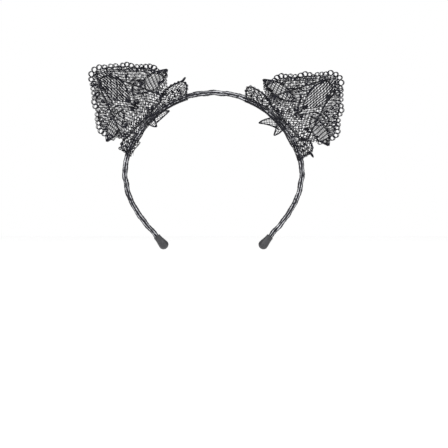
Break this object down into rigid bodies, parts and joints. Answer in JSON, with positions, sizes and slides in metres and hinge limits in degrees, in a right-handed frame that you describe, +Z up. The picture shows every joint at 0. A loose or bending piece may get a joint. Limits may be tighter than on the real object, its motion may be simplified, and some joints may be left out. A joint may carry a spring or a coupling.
{
  "type": "animal ears headband",
  "caption": "Sprung hoop headband wound with black ribbon, carrying two pointed lace animal ears that tilt on hidden wire frames.",
  "frame": {"origin": "centre of the hoop's round upper part, which is the middle of the wearer's head", "axes": "+Z up, towards the crown of the head; +X to the viewer's right; the wearer faces -Y"},
  "size_m": [0.1895, 0.0094, 0.137],
  "materials": {
    "spring_strip": "satin spring steel",
    "satin_ribbon": "black satin ribbon",
    "cap_rubber": "dipped matt black rubber",
    "support_wire": "black coated wire",
    "lace": "black embroidered guipure lace",
    "binding_thread": "black whipping thread"
  },
  "bodies": {
    "crown": {"crown_strip": "spring_strip", "crown_ribbon": "satin_ribbon", "left_ear_front_base": "lace", "left_ear_back_base": "lace", "left_ear_upper_lobe": "lace", "left_ear_lower_lobe": "lace", "left_ear_bindings": "binding_thread", "right_ear_front_base": "lace", "right_ear_back_base": "lace", "right_ear_upper_lobe": "lace", "right_ear_lower_lobe": "lace", "right_ear_bindings": "binding_thread"},
    "left_leg": {"left_leg_strip": "spring_strip", "left_leg_ribbon": "satin_ribbon", "left_end_cap": "cap_rubber"},
    "right_leg": {"right_leg_strip": "spring_strip", "right_leg_ribbon": "satin_ribbon", "right_end_cap": "cap_rubber"},
    "left_ear": {"left_ear_wire": "support_wire", "left_ear_front_lace": "lace", "left_ear_back_lace": "lace"},
    "right_ear": {"right_ear_wire": "support_wire", "right_ear_front_lace": "lace", "right_ear_back_lace": "lace"}
  },
  "joints": [
    {"name": "left_leg_flex", "type": "hinge", "parent": "crown", "child": "left_leg", "pos_m": [-0.06548, 0, 0.01273], "axis": [0, 1, 0], "range_deg": [-8, 30], "stiffness_Nm_per_rad": 0.15},
    {"name": "right_leg_flex", "type": "hinge", "parent": "crown", "child": "right_leg", "pos_m": [0.06548, 0, 0.01273], "axis": [0, -1, 0], "range_deg": [-8, 30], "stiffness_Nm_per_rad": 0.15},
    {"name": "left_ear_tilt", "type": "hinge", "parent": "crown", "child": "left_ear", "pos_m": [-0.05097, 0, 0.04754], "axis": [0.682, 0, 0.7314], "range_deg": [-25, 25]},
    {"name": "right_ear_tilt", "type": "hinge", "parent": "crown", "child": "right_ear", "pos_m": [0.053, 0, 0.04527], "axis": [0.6494, 0, -0.7604], "range_deg": [-25, 25]}
  ]
}
